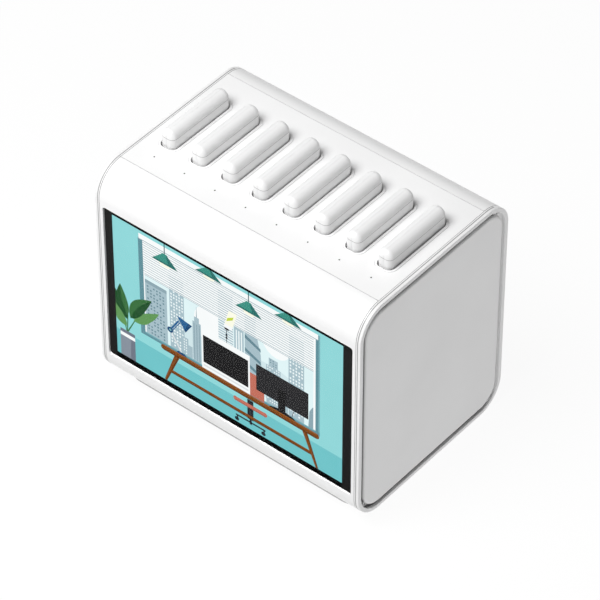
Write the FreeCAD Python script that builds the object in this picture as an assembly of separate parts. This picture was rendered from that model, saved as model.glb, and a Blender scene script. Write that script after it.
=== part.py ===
import FreeCAD, Part
import math
import os

# Counter-top power bank rental kiosk, in millimetres.
# +Z is up, -Y is the display side, X runs along the row of slots.
# The origin is on the table, under the middle of the cabinet.

V = FreeCAD.Vector
UP = V(0, 0, 1)

# ---- cabinet ----------------------------------------------------------
SHELL_LENGTH = 240.3        # wrap-round shell, between the two end frames
DEPTH = 170.5
HEIGHT = 204.5              # shell only, without the base and the banks
CORNER = 24.5               # radius of all four long corners
WALL = 2.5
FOOT_PROUD = 1.0            # rubber feet below the base plate
BASE_PROUD = 3.0            # base plate below the shell
SEAM = 0.3                  # visible parting lines
FIT = 0.15                  # gap round parts that drop into an opening

FRONT = -DEPTH / 2
BACK = DEPTH / 2
BOTTOM = FOOT_PROUD + BASE_PROUD
TOP = BOTTOM + HEIGHT
SHELL_END = SHELL_LENGTH / 2
INNER_FRONT = FRONT + WALL
INNER_BACK = BACK - WALL
FLOOR = BOTTOM + WALL
CEILING = TOP - WALL

# ---- end frames and side panels ---------------------------------------
RIM_LENGTH = 4.0            # how far the rim stands outside the shell's end
RIM_WIDTH = 3.6
RIM_ROUND = 0.8
RIM_INNER_ROUND = 0.5
GROOVE_WIDTH = 3.0
GROOVE_DEPTH = 3.0
BULKHEAD = 2.5              # part of the frame that plugs the shell
PANEL_ROUND = 2.2

FRAME_FACE = SHELL_END + RIM_LENGTH
GROOVE_FLOOR = FRAME_FACE - GROOVE_DEPTH
BULKHEAD_BACK = SHELL_END - BULKHEAD

# ---- display ----------------------------------------------------------
GLASS_WIDTH = 233.4
GLASS_LOW = BOTTOM + 26.6
GLASS_HIGH = BOTTOM + 174.1
GLASS_THICK = 1.6
GLASS_CORNER = 2.0
PRINT_THICK = 0.2
PICTURE_X = (-109.2, 107.6)
PICTURE_Z = (BOTTOM + 32.1, BOTTOM + 170.3)
LCD_X = 114.2
LCD_Z = (BOTTOM + 28.6, BOTTOM + 172.4)
LCD_THICK = 4.6
BRACKET_BACK = 7.8

# ---- slots and power banks --------------------------------------------
SLOTS = 8
PITCH = 28.84
SLOT_Y = FRONT + 86.45
SLOT_X = [(i - (SLOTS - 1) / 2) * PITCH for i in range(SLOTS)]
BANK_HALF = 6.5             # half thickness, and the radius of its round top
BANK_END = 32.65            # slot centre to each end face
BANK_CORNER = 4.5           # rounding all round the end faces
BANK_LENGTH = 133.0
BANK_PROUD = 14.8           # stands above the top when it is docked
BANK_TOP = TOP + BANK_PROUD
BANK_BOTTOM = BANK_TOP - BANK_LENGTH
PARTING = 0.2               # groove between the two halves of the bank's case
THROAT_GAP = 1.0            # gaps are measured outwards from the bank's sides
THROAT_SHIFT = -0.5         # the opening reaches a little further forward
COLLAR_GAP = 2.9
COLLAR_PROUD = 0.25
FLANGE_GAP = 4.5
CRADLE_INNER_GAP = 0.7
CRADLE_OUTER_GAP = 2.3
LED_Y = FRONT + 40.2
LIGHT_PIPE = 0.6

# ---- ejector, lock and charging pins ----------------------------------
DECK_Z = 60.0
DECK_THICK = 2.5
DECK_TOP = DECK_Z + DECK_THICK
EJECT_STROKE = 12.0
STEM_RADIUS = 2.5
RUNNING = 0.1               # radial clearance of stems and bolts
STEM_OFFSET = 22.0
PLATFORM = 3.0
LOCK_Z = 125.0
BOLT_RADIUS = 2.5
BOLT_TIP = SLOT_Y + BANK_END + 1.35
BOLT_TAIL = BOLT_TIP + 37.3
LOCK_PLATE_Y = 37.5
COIL_Y = (39.0, 65.0)

# ---- rear ---------------------------------------------------------------
INLET_X = -92.0
SWITCH_X = -62.0
REAR_Z = 44.0
SOCKET_DEPTH = 18.0
COVER_X = 100.0
COVER_Z = (66.0, 164.0)
COVER_THICK = 1.5
ROCKER_TILT = 10.0
PIVOT_Y = BACK - 9.0

# ---- electronics on the floor -------------------------------------------
BOARD_TOP = FLOOR + 6.6
CABLE_RADIUS = 1.6
LINK_AT = (57.68, 10.0)     # cable from the main board up to the slot board


# ---- shape helpers ------------------------------------------------------
def box(x0, x1, y0, y1, z0, z1):
    return Part.makeBox(x1 - x0, y1 - y0, z1 - z0, V(x0, y0, z0))


def rod_x(radius, x0, x1, y, z):
    return Part.makeCylinder(radius, x1 - x0, V(x0, y, z), V(1, 0, 0))


def rod_y(radius, y0, y1, x, z):
    return Part.makeCylinder(radius, y1 - y0, V(x, y0, z), V(0, 1, 0))


def rod_z(radius, z0, z1, x, y):
    return Part.makeCylinder(radius, z1 - z0, V(x, y, z0), UP)


def rounded_face(a0, a1, b0, b1, radius, place):
    """Rectangle with rounded corners; place turns its two coordinates into a point."""
    edges = []
    corners = [(a1 - radius, b0 + radius, -90), (a1 - radius, b1 - radius, 0),
               (a0 + radius, b1 - radius, 90), (a0 + radius, b0 + radius, 180)]
    ends = []
    for a, b, start in corners:
        arc = []
        for turn in (0, 45, 90):
            angle = math.radians(start + turn)
            arc.append(place(a + radius * math.cos(angle), b + radius * math.sin(angle)))
        ends.append(arc)
    for i, arc in enumerate(ends):
        edges.append(Part.Arc(*arc).toShape())
        after = ends[(i + 1) % 4][0]
        if arc[2].distanceToPoint(after) > 1e-6:
            edges.append(Part.LineSegment(arc[2], after).toShape())
    return Part.Face(Part.Wire(edges))


def plate_x(x0, x1, y0, y1, z0, z1, radius):
    face = rounded_face(y0, y1, z0, z1, radius, lambda a, b: V(x0, a, b))
    return face.extrude(V(x1 - x0, 0, 0))


def plate_y(y0, y1, x0, x1, z0, z1, radius):
    face = rounded_face(x0, x1, z0, z1, radius, lambda a, b: V(a, y0, b))
    return face.extrude(V(0, y1 - y0, 0))


def plate_z(z0, z1, x0, x1, y0, y1, radius):
    face = rounded_face(x0, x1, y0, y1, radius, lambda a, b: V(a, b, z0))
    return face.extrude(V(0, 0, z1 - z0))


def cabinet(inset, x0, x1):
    """The cabinet's outline, drawn in by inset, as a solid from x0 to x1."""
    return plate_x(x0, x1, FRONT + inset, BACK - inset, BOTTOM + inset, TOP - inset, CORNER - inset)


def slot_prism(gap, x, z0, z1, shift=0):
    """Upright prism with the bank's rounded outline, moved outwards by gap, over one slot."""
    half, end = BANK_HALF + gap, BANK_END + gap
    return plate_z(z0, z1, x - half, x + half, SLOT_Y - end + shift, SLOT_Y + end + shift, BANK_CORNER + gap)


def fuse(shapes):
    result = shapes[0].fuse(shapes[1:]) if len(shapes) > 1 else shapes[0]
    return result.removeSplitter()


def cut(shape, tools):
    return shape.cut(tools).removeSplitter()


def edges_on_plane(shape, axis, value):
    found = []
    for edge in shape.Edges:
        bounds = edge.BoundBox
        low, high = {"x": (bounds.XMin, bounds.XMax), "y": (bounds.YMin, bounds.YMax),
                     "z": (bounds.ZMin, bounds.ZMax)}[axis]
        if abs(low - value) < 1e-4 and abs(high - value) < 1e-4:
            found.append(edge)
    return found


def round_plane_edges(shape, axis, value, radius):
    return shape.makeFillet(radius, edges_on_plane(shape, axis, value))


def countersunk(length, head, shank):
    """Screw along +Z with its flat head at z = 0 and its shank below, with a driver recess."""
    sink = head - shank
    screw = fuse([Part.makeCone(shank, head, sink, V(0, 0, -sink)),
                  Part.makeCylinder(shank, length, V(0, 0, -length))])
    recess = Part.makeBox(head * 1.1, 0.5, 0.9, V(-head * 0.55, -0.25, -0.8))
    cross = Part.makeBox(0.5, head * 1.1, 0.9, V(-0.25, -head * 0.55, -0.8))
    return screw.cut([recess, cross])


def screw_hole(length, head, shank, gap):
    sink = head - shank
    return fuse([Part.makeCone(shank + gap, head + gap, sink, V(0, 0, -sink)),
                 Part.makeCylinder(head + gap, 2, V(0, 0, 0)),
                 Part.makeCylinder(shank + gap, length + 0.5, V(0, 0, -length - 0.5))])


def aim(shape, place, direction):
    """Turn a shape made along +Z to point along direction, and move it to place."""
    turned = shape.copy()
    turned.Placement = FreeCAD.Placement(place, FreeCAD.Rotation(UP, direction))
    return turned


def mirrored(shape):
    return shape.mirror(V(0, 0, 0), V(1, 0, 0))


def cable(points, radius, bend):
    """Round cable along straight runs joined by tangent arcs."""
    edges = []
    start = points[0]
    for before, corner, after in zip(points, points[1:], points[2:]):
        enter = corner + (before - corner).normalize() * bend
        leave = corner + (after - corner).normalize() * bend
        half = (before - corner).getAngle(after - corner) / 2
        arc_radius = bend * math.tan(half)
        bisector = ((enter - corner) + (leave - corner)).normalize()
        middle = corner + bisector * (arc_radius / math.sin(half) - arc_radius)
        edges.append(Part.LineSegment(start, enter).toShape())
        edges.append(Part.Arc(enter, middle, leave).toShape())
        start = leave
    edges.append(Part.LineSegment(start, points[-1]).toShape())
    path = Part.Wire(edges)
    ring = Part.Wire(Part.makeCircle(radius, points[0], points[1] - points[0]))
    return path.makePipeShell([ring], True, True)


# ---- screw positions shared by two parts -------------------------------
COVER_SCREWS = [(x, z) for x in (-94, 94) for z in (COVER_Z[0] + 6, COVER_Z[1] - 6)]
BASE_SCREWS = [(x, y) for x in (-100, 0, 100) for y in (-60, 60)]
BOSS_OFFSET = DEPTH / 2 - CORNER + (CORNER - WALL - 3.5) * math.sqrt(0.5)
FRAME_SCREWS = [(y, z) for y in (-BOSS_OFFSET, BOSS_OFFSET)
                for z in (BOTTOM + DEPTH / 2 - BOSS_OFFSET, TOP - DEPTH / 2 + BOSS_OFFSET)]
SPEAKER_AT = (70.0, -40.0)
SPEAKER_HOLES = [SPEAKER_AT] + [(SPEAKER_AT[0] + 9 * math.cos(math.radians(a)),
                                 SPEAKER_AT[1] + 9 * math.sin(math.radians(a))) for a in range(0, 360, 60)]


# ---- casing -------------------------------------------------------------
def main_shell():
    shell = cabinet(0, -SHELL_END, SHELL_END).cut(cabinet(WALL, -SHELL_END - 1, SHELL_END + 1))
    panel_y = DEPTH / 2 - CORNER
    shell = shell.cut(box(-SHELL_END - 1, SHELL_END + 1, -panel_y, panel_y, TOP - 40, TOP + 1))
    lip = 4.5
    adds = []
    for side in (-1, 1):
        inner, outer = sorted((side * (panel_y - lip), side * (panel_y + 6.5)))
        adds.append(box(-BULKHEAD_BACK, BULKHEAD_BACK, inner, outer, CEILING - 2.5, CEILING))
        for y, z in FRAME_SCREWS:
            ends = sorted((side * (BULKHEAD_BACK - 12), side * (BULKHEAD_BACK - 0.1)))
            adds.append(rod_x(4.0, ends[0], ends[1], y, z))
    for x, z in COVER_SCREWS:
        adds.append(rod_y(3.6, INNER_BACK - 6, INNER_BACK + 0.5, x, z))
    for x, y in BASE_SCREWS:
        adds.append(rod_z(3.6, BOTTOM + 1, FLOOR + 5, x, y))
    shell = fuse([shell] + adds)
    cuts = [plate_y(FRONT - 1, INNER_FRONT + 1, -GLASS_WIDTH / 2 - SEAM, GLASS_WIDTH / 2 + SEAM,
                    GLASS_LOW - SEAM, GLASS_HIGH + SEAM, GLASS_CORNER + SEAM),
            plate_y(INNER_BACK - 1, BACK + 1, -COVER_X + 12, COVER_X - 12,
                    COVER_Z[0] + 12, COVER_Z[1] - 12, 3),
            plate_y(BACK - COVER_THICK, BACK + 1, -COVER_X - FIT, COVER_X + FIT,
                    COVER_Z[0] - FIT, COVER_Z[1] + FIT, 4 + FIT),
            plate_y(INNER_BACK - 1, BACK + 1, INLET_X - 13.1, INLET_X + 13.1,
                    REAR_Z - 8.1, REAR_Z + 8.1, 2.1),
            plate_y(INNER_BACK - 1, BACK + 1, SWITCH_X - 7.85, SWITCH_X + 7.85,
                    REAR_Z - 11.6, REAR_Z + 11.6, 2.1)]
    for side in (-1, 1):
        ends = sorted((side * (SHELL_END - SEAM), side * (SHELL_END + 1)))
        cuts.append(cabinet(-1, ends[0], ends[1]).cut(cabinet(0.6, ends[0] - 1, ends[1] + 1)))
        for y, z in FRAME_SCREWS:
            ends = sorted((side * (SHELL_END - 16), side * (SHELL_END + 1)))
            cuts.append(rod_x(1.5, ends[0], ends[1], y, z))
    for x, z in COVER_SCREWS:
        cuts.append(rod_y(1.45, INNER_BACK - 5, BACK + 1, x, z))
    for x, y in BASE_SCREWS:
        cuts.append(rod_z(1.45, BOTTOM - 1, FLOOR + 4, x, y))
    for x, y in SPEAKER_HOLES:
        cuts.append(rod_z(1.6, BOTTOM - 1, FLOOR + 1, x, y))
    return cut(shell, cuts)


def top_panel():
    half_depth = DEPTH / 2 - CORNER - SEAM
    panel = box(-SHELL_END + SEAM, SHELL_END - SEAM, -half_depth, half_depth, CEILING, TOP)
    boss_x = [x + PITCH / 2 for x in SLOT_X[:-1:2]]
    bosses = [rod_z(3.0, 200.6, CEILING + 0.5, x, LED_Y) for x in boss_x]
    panel = fuse([panel] + bosses)
    cuts = []
    for x in SLOT_X:
        cuts.append(slot_prism(COLLAR_GAP + FIT, x, CEILING - 1, TOP + 1))
        cuts.append(rod_z(LIGHT_PIPE + 0.05, CEILING - 1, TOP + 1, x, LED_Y))
    return cut(panel, cuts)


def slot_collars():
    collars = []
    for x in SLOT_X:
        ring = slot_prism(COLLAR_GAP, x, CEILING, TOP + COLLAR_PROUD)
        ring = round_plane_edges(ring, "z", TOP + COLLAR_PROUD, 0.2)
        flange = slot_prism(FLANGE_GAP, x, CEILING - 1.5, CEILING)
        throat = slot_prism(THROAT_GAP, x, CEILING - 2, TOP + 1, THROAT_SHIFT)
        collars.append(cut(fuse([ring, flange]), [throat]))
    return collars


def end_frame():
    rim = cabinet(0, SHELL_END, FRAME_FACE)
    rim = round_plane_edges(rim, "x", FRAME_FACE, RIM_ROUND)
    well = cabinet(RIM_WIDTH, GROOVE_FLOOR, FRAME_FACE + 1)
    rim = rim.cut(well)
    mouth = well.BoundBox
    mouth.enlarge(0.01)
    inner_edges = [e for e in edges_on_plane(rim, "x", FRAME_FACE) if mouth.isInside(e.BoundBox)]
    rim = rim.makeFillet(RIM_INNER_ROUND, inner_edges)
    plug = cabinet(WALL + FIT, BULKHEAD_BACK, SHELL_END)
    hollow = cabinet(WALL + 6, BULKHEAD_BACK - 1, GROOVE_FLOOR - 2.0)
    pads = [rod_x(5.0, BULKHEAD_BACK, SHELL_END, y, z).common(plug) for y, z in FRAME_SCREWS]
    frame = fuse([rim, plug])
    frame = fuse([frame.cut(hollow)] + pads)
    cuts = []
    for y, z in FRAME_SCREWS:
        cuts.append(aim(screw_hole(16, 2.9, 1.5, 0.05), V(GROOVE_FLOOR, y, z), V(1, 0, 0)))
    for y in (-45, 45):
        for z in (BOTTOM + 50, TOP - 50):
            cuts.append(box(GROOVE_FLOOR - 3, GROOVE_FLOOR + 1, y - 5.1, y + 5.1, z - 1.6, z + 1.6))
    return cut(frame, cuts)


def side_panel():
    panel = cabinet(RIM_WIDTH + GROOVE_WIDTH, GROOVE_FLOOR, FRAME_FACE)
    panel = round_plane_edges(panel, "x", FRAME_FACE, PANEL_ROUND)
    clips = []
    for y in (-45, 45):
        for z in (BOTTOM + 50, TOP - 50):
            clips.append(box(GROOVE_FLOOR - 4, GROOVE_FLOOR + 0.5, y - 4.9, y + 4.9, z - 1.4, z + 0.2))
            clips.append(box(GROOVE_FLOOR - 4, GROOVE_FLOOR - 2.1, y - 4.9, y + 4.9, z - 1.4, z + 1.4))
    return fuse([panel] + clips)


def frame_screws():
    screws = []
    for side in (-1, 1):
        for y, z in FRAME_SCREWS:
            head = V(side * (GROOVE_FLOOR - 0.05), y, z)
            screws.append(aim(countersunk(14, 2.9, 1.4), head, V(side, 0, 0)))
    return screws


def base_plate():
    plate = plate_z(FOOT_PROUD, BOTTOM, -118, 118, FRONT + 13, BACK - 13, 20)
    plate = plate.makeChamfer(0.6, edges_on_plane(plate, "z", FOOT_PROUD))
    cuts = [rod_z(7.1, FOOT_PROUD - 1, FOOT_PROUD + 1.5, x, y) for x, y in foot_places()]
    for x, y in BASE_SCREWS:
        cuts.append(aim(screw_hole(9, 2.9, 1.5, 0.05), V(x, y, FOOT_PROUD + 0.3), V(0, 0, -1)))
    for x, y in SPEAKER_HOLES:
        cuts.append(rod_z(1.6, FOOT_PROUD - 1, BOTTOM + 1, x, y))
    return cut(plate, cuts)


def foot_places():
    return [(x, y) for x in (-98, 98) for y in (-45, 45)]


def rubber_feet():
    feet = []
    for x, y in foot_places():
        foot = rod_z(7.0, 0, FOOT_PROUD + 1.5, x, y)
        feet.append(foot.makeFillet(0.5, edges_on_plane(foot, "z", 0)))
    return feet


def base_screws():
    return [aim(countersunk(7.5, 2.9, 1.4), V(x, y, FOOT_PROUD + 0.35), V(0, 0, -1)) for x, y in BASE_SCREWS]


def rear_cover():
    cover = plate_y(BACK - COVER_THICK, BACK, -COVER_X, COVER_X, COVER_Z[0], COVER_Z[1], 4)
    cuts = []
    for row in (COVER_Z[0] + 20, COVER_Z[1] - 30):
        for i in range(21):
            x = (i - 10) * 7.0
            cuts.append(plate_y(BACK - 3, BACK + 1, x - 1.25, x + 1.25, row, row + 14, 1.2))
    for x, z in COVER_SCREWS:
        cuts.append(aim(screw_hole(6, 2.6, 1.5, 0.05), V(x, BACK, z), V(0, 1, 0)))
    return cut(cover, cuts)


def rear_cover_screws():
    return [aim(countersunk(6.5, 2.5, 1.4), V(x, BACK - 0.05, z), V(0, 1, 0)) for x, z in COVER_SCREWS]


# ---- display ------------------------------------------------------------
def cover_glass():
    glass = plate_y(FRONT, FRONT + GLASS_THICK, -GLASS_WIDTH / 2, GLASS_WIDTH / 2,
                    GLASS_LOW, GLASS_HIGH, GLASS_CORNER)
    return round_plane_edges(glass, "y", FRONT, 0.25)


def glass_border():
    y0 = FRONT + GLASS_THICK
    outer = plate_y(y0, y0 + PRINT_THICK, -GLASS_WIDTH / 2 + 0.2, GLASS_WIDTH / 2 - 0.2,
                    GLASS_LOW + 0.2, GLASS_HIGH - 0.2, GLASS_CORNER)
    window = box(PICTURE_X[0], PICTURE_X[1], y0 - 1, y0 + 1, PICTURE_Z[0], PICTURE_Z[1])
    return outer.cut(window)


def lcd_panel():
    y0 = FRONT + GLASS_THICK + PRINT_THICK
    return plate_y(y0, y0 + LCD_THICK, -LCD_X, LCD_X, LCD_Z[0], LCD_Z[1], 1.0)


def display_bracket():
    frame = plate_y(INNER_FRONT, FRONT + BRACKET_BACK, -117.2, 117.2,
                    BOTTOM + CORNER + 0.3, TOP - CORNER - 0.3, 2.0)
    pocket = box(-LCD_X - FIT, LCD_X + FIT, FRONT, FRONT + GLASS_THICK + PRINT_THICK + LCD_THICK,
                 LCD_Z[0] - FIT, LCD_Z[1] + FIT)
    cable_slot = box(-20, 20, FRONT, FRONT + BRACKET_BACK + 1, LCD_Z[0] + 8, LCD_Z[0] + 12)
    return cut(frame, [pocket, cable_slot])


# ---- slot furniture -----------------------------------------------------
def light_pipes():
    shoulder = CEILING - 3.0
    return [fuse([rod_z(LIGHT_PIPE, shoulder, TOP, x, LED_Y),
                  rod_z(1.6, shoulder - 1.4, shoulder, x, LED_Y)]) for x in SLOT_X]


def led_board():
    board = box(-112, 112, LED_Y - 5, LED_Y + 5, 199.0, 200.6)
    lamps = [box(x - 1, x + 1, LED_Y - 1, LED_Y + 1, 200.5, 201.5) for x in SLOT_X]
    return fuse([board] + lamps)


def slot_cradles():
    cradles = []
    for x in SLOT_X:
        tube = slot_prism(CRADLE_OUTER_GAP, x, DECK_TOP, CEILING - 1.7)
        hole = slot_prism(CRADLE_INNER_GAP, x, DECK_TOP - 1, CEILING)
        board_gap = box(x - 20, x + 20, SLOT_Y - 17, SLOT_Y + 17, DECK_TOP - 1, DECK_TOP + 8)
        bolt_hole = rod_y(BOLT_RADIUS + 0.2, SLOT_Y, BOLT_TAIL, x, LOCK_Z)
        cradles.append(cut(tube, [hole, board_gap, bolt_hole]))
    return cradles


def slot_deck():
    deck = box(-117.2, 117.2, FRONT + BRACKET_BACK + 1, INNER_BACK - 1, DECK_Z, DECK_TOP)
    legs = []
    for x in (-113, 113):
        for y in (-56, 56):
            legs.append(plate_z(FLOOR, DECK_Z, x - 4, x + 4, y - 4, y + 4, 1.5))
    standoffs = [rod_z(3.0, DECK_TOP, DECK_TOP + 2.0, x, SLOT_Y) for x in (-86.52, 0, 86.52)]
    deck = fuse([deck] + legs + standoffs)
    holes = []
    for x in SLOT_X:
        for side in (-1, 1):
            y = SLOT_Y + side * STEM_OFFSET
            holes.append(rod_z(STEM_RADIUS + RUNNING, DECK_Z - 1, DECK_TOP + 1, x, y))
    holes.append(rod_z(CABLE_RADIUS + 0.8, DECK_Z - 1, DECK_TOP + 1, *LINK_AT))
    return cut(deck, holes)


def slot_board():
    return box(-115, 115, SLOT_Y - 16, SLOT_Y + 16, DECK_TOP + 2.0, DECK_TOP + 3.6)


def charging_blocks():
    blocks = []
    foot = DECK_TOP + 3.6
    for x in SLOT_X:
        block = box(x - 3.5, x + 3.5, SLOT_Y - 14, SLOT_Y + 14, foot, BANK_BOTTOM - 2.2)
        pins = [rod_z(0.9, foot, BANK_BOTTOM + 0.3, x, SLOT_Y + (i - 2) * 5.0) for i in range(5)]
        blocks.append(fuse([block] + pins))
    return blocks


def ejector_springs():
    springs = []
    for x in SLOT_X:
        for side in (-1, 1):
            y = SLOT_Y + side * STEM_OFFSET
            sleeve = rod_z(4.3, DECK_TOP, BANK_BOTTOM - PLATFORM, x, y)
            springs.append(sleeve.cut(rod_z(3.3, DECK_TOP - 1, BANK_BOTTOM, x, y)))
    return springs


def ejector(x):
    platform_top = BANK_BOTTOM
    base = BANK_BOTTOM - PLATFORM
    platform = slot_prism(-0.7, x, base, platform_top)
    window = box(x - 4.2, x + 4.2, SLOT_Y - 15, SLOT_Y + 15, base - 1, platform_top + 1)
    stems = []
    low = DECK_Z - EJECT_STROKE - 2.5
    for side in (-1, 1):
        y = SLOT_Y + side * STEM_OFFSET
        stems.append(rod_z(STEM_RADIUS, low, base + 0.5, x, y))
        stems.append(rod_z(STEM_RADIUS + 1.2, low, low + 1.5, x, y))
    return fuse([platform.cut(window)] + stems)


def bank_body(x, inset, bottom):
    """Flat pack with a full-round top, and rounded all round each end face."""
    half, end = BANK_HALF - inset, BANK_END - inset
    axis_z = BANK_TOP - BANK_HALF
    near, far = SLOT_Y - end, SLOT_Y + end
    body = fuse([box(x - half, x + half, near, far, bottom, axis_z), rod_y(half, near, far, x, axis_z)])
    rim = [edge for y in (near, far) for edge in edges_on_plane(body, "y", y) if edge.BoundBox.ZMax > bottom + 1]
    return body.makeFillet(BANK_CORNER - inset, rim)


def power_bank(x):
    bank = bank_body(x, 0, BANK_BOTTOM)
    bank = bank.makeFillet(1.0, edges_on_plane(bank, "z", BANK_BOTTOM))
    slab = box(x - PARTING / 2, x + PARTING / 2, SLOT_Y - 40, SLOT_Y + 40, BANK_BOTTOM + 2, BANK_TOP + 1)
    groove = slab.cut(bank_body(x, PARTING, BANK_BOTTOM))
    back_edge = SLOT_Y + BANK_END
    catch = rod_y(BOLT_RADIUS + 0.5, back_edge - 5.6, back_edge + 1, x, LOCK_Z)
    pads = [box(x - 2.5, x + 2.5, SLOT_Y + (i - 2) * 5.0 - 1.4, SLOT_Y + (i - 2) * 5.0 + 1.4,
                BANK_BOTTOM - 1, BANK_BOTTOM + 0.3) for i in range(5)]
    return cut(bank, [groove, catch] + pads)


def lock_bolt(x):
    bolt = rod_y(BOLT_RADIUS, BOLT_TIP, BOLT_TAIL, x, LOCK_Z)
    bolt = bolt.makeChamfer(0.6, edges_on_plane(bolt, "y", BOLT_TIP))
    return fuse([bolt, rod_y(BOLT_RADIUS + 1.3, BOLT_TAIL - 1.5, BOLT_TAIL, x, LOCK_Z)])


def lock_bracket():
    plate = plate_y(LOCK_PLATE_Y, COIL_Y[0], -117.2, 117.2, LOCK_Z - 20, LOCK_Z + 20, 3)
    return cut(plate, [rod_y(BOLT_RADIUS + 0.3, LOCK_PLATE_Y - 1, COIL_Y[0] + 1, x, LOCK_Z) for x in SLOT_X])


def lock_coils():
    coils = []
    for x in SLOT_X:
        body = plate_y(COIL_Y[0], COIL_Y[1], x - 8, x + 8, LOCK_Z - 8, LOCK_Z + 8, 1.5)
        coils.append(body.cut(rod_y(BOLT_RADIUS + RUNNING, COIL_Y[0] - 1, COIL_Y[1] + 1, x, LOCK_Z)))
    return coils


# ---- electronics ----------------------------------------------------------
def power_supply():
    case = box(-106, -10, -64, -14, FLOOR + 7, FLOOR + 35)
    case = case.makeChamfer(1.0, edges_on_plane(case, "z", FLOOR + 35))
    feet = [box(x - 4, x + 4, -56, -18, FLOOR, FLOOR + 7.5) for x in (-84, -18)]
    return fuse([case] + feet)


def main_board():
    under = BOARD_TOP - 1.6
    board = box(8, 104, -18, 46, under, BOARD_TOP)
    posts = [rod_z(2.5, FLOOR, under + 0.5, x, y) for x in (13, 99) for y in (-13, 41)]
    seat = BOARD_TOP - 0.1
    chips = [box(40, 62, -8, 14, seat, BOARD_TOP + 2.0), box(70, 84, -14, 4, seat, BOARD_TOP + 1.6),
             box(10, 26, -8, 8, seat, BOARD_TOP + 7.4), box(84, 100, 14, 34, seat, BOARD_TOP + 10.4)]
    return fuse([board] + posts + chips)


def speaker():
    x, y = SPEAKER_AT
    return fuse([rod_z(17.0, FLOOR, FLOOR + 3, x, y), rod_z(11.0, FLOOR + 2.5, FLOOR + 9, x, y)])


def antenna():
    return plate_y(INNER_BACK - 0.5, INNER_BACK, -45, 45, 170, 182, 1.5)


def wiring():
    back = BACK - SOCKET_DEPTH
    supply_back = -14.0
    turn_y, low = 45.0, 24.0
    runs = [[V(x, back, REAR_Z), V(x, turn_y, REAR_Z), V(x, turn_y, low), V(x, supply_back, low)]
            for x in (INLET_X, SWITCH_X)]
    runs.append([V(-10, -40, 26), V(0, -40, 26), V(0, 0, 26), V(18, 0, 26), V(18, 0, BOARD_TOP + 7.4)])
    cables = [cable(run, CABLE_RADIUS, 4.5) for run in runs]
    return cables + [rod_z(2.0, BOARD_TOP + 2.0, DECK_TOP + 2.0, *LINK_AT)]


# ---- rear sockets -----------------------------------------------------------
def power_inlet():
    body = plate_y(BACK - SOCKET_DEPTH, BACK, INLET_X - 13, INLET_X + 13, REAR_Z - 8, REAR_Z + 8, 2)
    well = plate_y(BACK - 12, BACK + 1, INLET_X - 8.5, INLET_X + 8.5, REAR_Z - 4.3, REAR_Z + 4.3, 4.2)
    pins = []
    for side in (-1, 1):
        pin = rod_y(1.2, BACK - 12.5, BACK - 3, INLET_X + side * 4.3, REAR_Z)
        pins.append(pin.makeFillet(0.6, edges_on_plane(pin, "y", BACK - 3)))
    return fuse([body.cut(well)] + pins)


def switch_housing():
    body = plate_y(BACK - SOCKET_DEPTH, BACK, SWITCH_X - 7.75, SWITCH_X + 7.75,
                   REAR_Z - 11.5, REAR_Z + 11.5, 2)
    well = box(SWITCH_X - 6, SWITCH_X + 6, BACK - 13, BACK + 1, REAR_Z - 9.5, REAR_Z + 9.5)
    pivot = rod_x(1.28, SWITCH_X - 6.9, SWITCH_X + 6.9, PIVOT_Y, REAR_Z)
    return cut(body, [well, pivot])


def power_rocker():
    """Rocker tipped towards its lower end, on two trunnions along X."""
    reach, half = 7.4, 8.0
    outline = [V(0, reach, half), V(0, reach, -half), V(0, 2.0, -6.4), V(0, -2.6, -2.2),
               V(0, -2.6, 2.2), V(0, 2.0, 6.4), V(0, reach, half)]
    paddle = Part.Face(Part.makePolygon(outline)).extrude(V(11.4, 0, 0))
    paddle.translate(V(-5.7, 0, 0))
    face_edges = edges_on_plane(paddle, "y", reach)
    paddle = paddle.makeFillet(0.6, face_edges)
    rocker = fuse([paddle, rod_x(1.2, -6.7, 6.7, 0, 0)])
    tilt = FreeCAD.Rotation(V(1, 0, 0), -ROCKER_TILT)
    rocker.Placement = FreeCAD.Placement(V(SWITCH_X, PIVOT_Y, REAR_Z), tilt)
    return rocker


# ---- write every part -------------------------------------------------------
def write(name, shape):
    """Bake the placement in, check the solids, and write one file."""
    solids = shape if isinstance(shape, list) else [shape]
    clean = []
    for solid in solids:
        for piece in solid.Solids:
            if not piece.isValid():
                print("INVALID", name)
            clean.append(piece)
    if len(clean) != len(solids):
        print("PIECES", name, len(clean), "from", len(solids))
    body = clean[0] if len(clean) == 1 else Part.makeCompound(clean)
    body.exportStep("parts/%s.step" % name)


def main():
    os.makedirs("parts", exist_ok=True)
    frame = end_frame()
    panel = side_panel()
    parts = {"right_end_frame": frame, "left_end_frame": mirrored(frame),
             "right_side_panel": panel, "left_side_panel": mirrored(panel)}
    for make in (main_shell, top_panel, slot_collars, frame_screws, base_plate, rubber_feet, base_screws,
                 rear_cover, rear_cover_screws, cover_glass, glass_border, lcd_panel, display_bracket,
                 light_pipes, led_board, slot_cradles, slot_deck, slot_board, charging_blocks,
                 ejector_springs, lock_bracket, lock_coils, power_supply, main_board, speaker, antenna,
                 wiring, power_inlet, switch_housing, power_rocker):
        parts[make.__name__] = make()
    for i, x in enumerate(SLOT_X):
        parts["power_bank_%d" % (i + 1)] = power_bank(x)
        parts["ejector_%d" % (i + 1)] = ejector(x)
        parts["lock_bolt_%d" % (i + 1)] = lock_bolt(x)
    for name, shape in parts.items():
        write(name, shape)
    print(len(parts), "parts")


main()
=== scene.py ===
import math

import bmesh
import bpy
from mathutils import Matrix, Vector
from mathutils.geometry import delaunay_2d_cdt


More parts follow.
